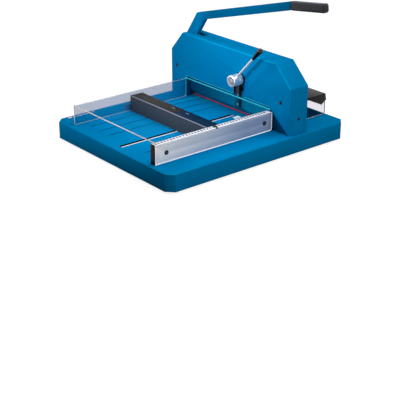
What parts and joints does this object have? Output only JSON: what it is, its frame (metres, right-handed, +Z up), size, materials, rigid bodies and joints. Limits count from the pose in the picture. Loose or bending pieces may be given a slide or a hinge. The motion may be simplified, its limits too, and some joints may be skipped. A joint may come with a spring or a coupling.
{
  "type": "stack paper cutter",
  "caption": "Tabletop stack cutter: long blade lever, slanted-stroke blade, rack-driven press beam, side guide, sliding back gauge and clear hinged guards.",
  "frame": {"origin": "centre of the four stand bolts, in the plane of the table's lower edge", "axes": "+X along the cut towards the side guide, +Y from the operator to the back, +Z up"},
  "size_m": [0.715, 0.754, 0.5096],
  "materials": {
    "blue_paint": "fine satin powder coat",
    "dark_paint": "satin paint in shade",
    "aluminium": "anodised, brushed along its length",
    "steel": "machined",
    "black_steel": "blackened",
    "brown_steel": "browned screw heads",
    "blade_steel": "ground",
    "chrome": "polished",
    "cast_iron": "machined",
    "bronze": "sintered bearing bronze",
    "rubber": "matt",
    "red_plastic": "cutting stick plastic",
    "pale_plastic": "printed strip",
    "black_plastic": "smooth moulded",
    "brown_plastic": "moulded",
    "slate_paint": "anodised dark slate",
    "clear_plastic": "clear acrylic sheet"
  },
  "bodies": {
    "root": {"table_base": "blue_paint", "gauge_rail": "aluminium", "cutting_stick": "red_plastic", "rubber_feet": "rubber", "foot_screws": "steel", "side_guide": "aluminium", "side_guide_bar": "steel", "side_guide_cap": "black_plastic", "side_guide_screws": "black_steel", "scale_strip": "pale_plastic", "scale_strip_screw": "black_steel", "guard_stop": "brown_plastic", "front_cover": "blue_paint", "rear_cover": "blue_paint", "cover_screws": "brown_steel", "cover_standoffs": "steel", "inner_cheeks": "dark_paint", "rear_frame_plate": "steel", "front_frame_plate": "steel", "pivot_plate": "steel", "frame_spacers": "steel", "frame_bolts": "steel", "frame_feet": "steel", "guide_rollers": "bronze", "lever_pivot_pin": "steel", "press_guide_rods": "steel", "guide_rod_blocks": "steel", "clamp_bearing": "cast_iron", "guard_hinge_brackets": "steel", "guard_hinge_pins": "steel", "rear_hinge_brackets": "black_steel", "rear_hinge_pins": "steel"},
    "lever": {"blade_lever": "blue_paint", "lever_bush": "bronze", "lever_grip": "black_plastic", "drive_pin": "steel", "drive_roller": "bronze"},
    "carriage": {"blade_carrier": "cast_iron", "blade": "blade_steel", "blade_bolts": "steel"},
    "clamp": {"clamp_shaft": "steel", "clamp_hub": "chrome", "clamp_collar": "black_plastic", "clamp_rod": "chrome", "clamp_knob": "black_plastic"},
    "press": {"press_beam": "dark_paint", "press_rack": "black_steel", "rack_screws": "steel"},
    "gauge": {"gauge_bar": "slate_paint", "gauge_end_caps": "black_plastic", "gauge_slider": "aluminium", "gauge_screws": "steel"},
    "front_flap": {"front_guard": "clear_plastic", "guard_clip": "clear_plastic", "guard_hinge_arms": "clear_plastic"},
    "rear_flap": {"rear_guard": "clear_plastic", "rear_guard_handle": "black_plastic", "rear_hinge_leaves": "black_steel"}
  },
  "joints": [
    {"name": "lever_hinge", "type": "hinge", "parent": "root", "child": "lever", "pos_m": [-0.257, 0.169, 0.236], "axis": [0, 1, 0], "range_deg": [0, 18]},
    {"name": "blade_slide", "type": "slide", "parent": "root", "child": "carriage", "axis": [-0.7071, 0, -0.7071], "range_m": [0, 0.0354]},
    {"name": "clamp_hinge", "type": "hinge", "parent": "root", "child": "clamp", "pos_m": [0.061, 0.123, 0.194], "axis": [0, -1, 0], "range_deg": [0, 90]},
    {"name": "press_slide", "type": "slide", "parent": "root", "child": "press", "axis": [0, 0, -1], "range_m": [0, 0.022]},
    {"name": "gauge_slide", "type": "slide", "parent": "root", "child": "gauge", "axis": [0, 1, 0], "range_m": [-0.19, 0.18]},
    {"name": "front_guard_hinge", "type": "hinge", "parent": "root", "child": "front_flap", "pos_m": [0, 0.129, 0.138], "axis": [-1, 0, 0], "range_deg": [0, 40]},
    {"name": "rear_guard_hinge", "type": "hinge", "parent": "root", "child": "rear_flap", "pos_m": [0, 0.208, 0.14], "axis": [1, 0, 0], "range_deg": [0, 60]}
  ],
  "couplings": [
    {"joint": "blade_slide", "follows": "lever_hinge", "m_per_rad": 0.11254},
    {"joint": "press_slide", "follows": "clamp_hinge", "m_per_rad": 0.014}
  ]
}
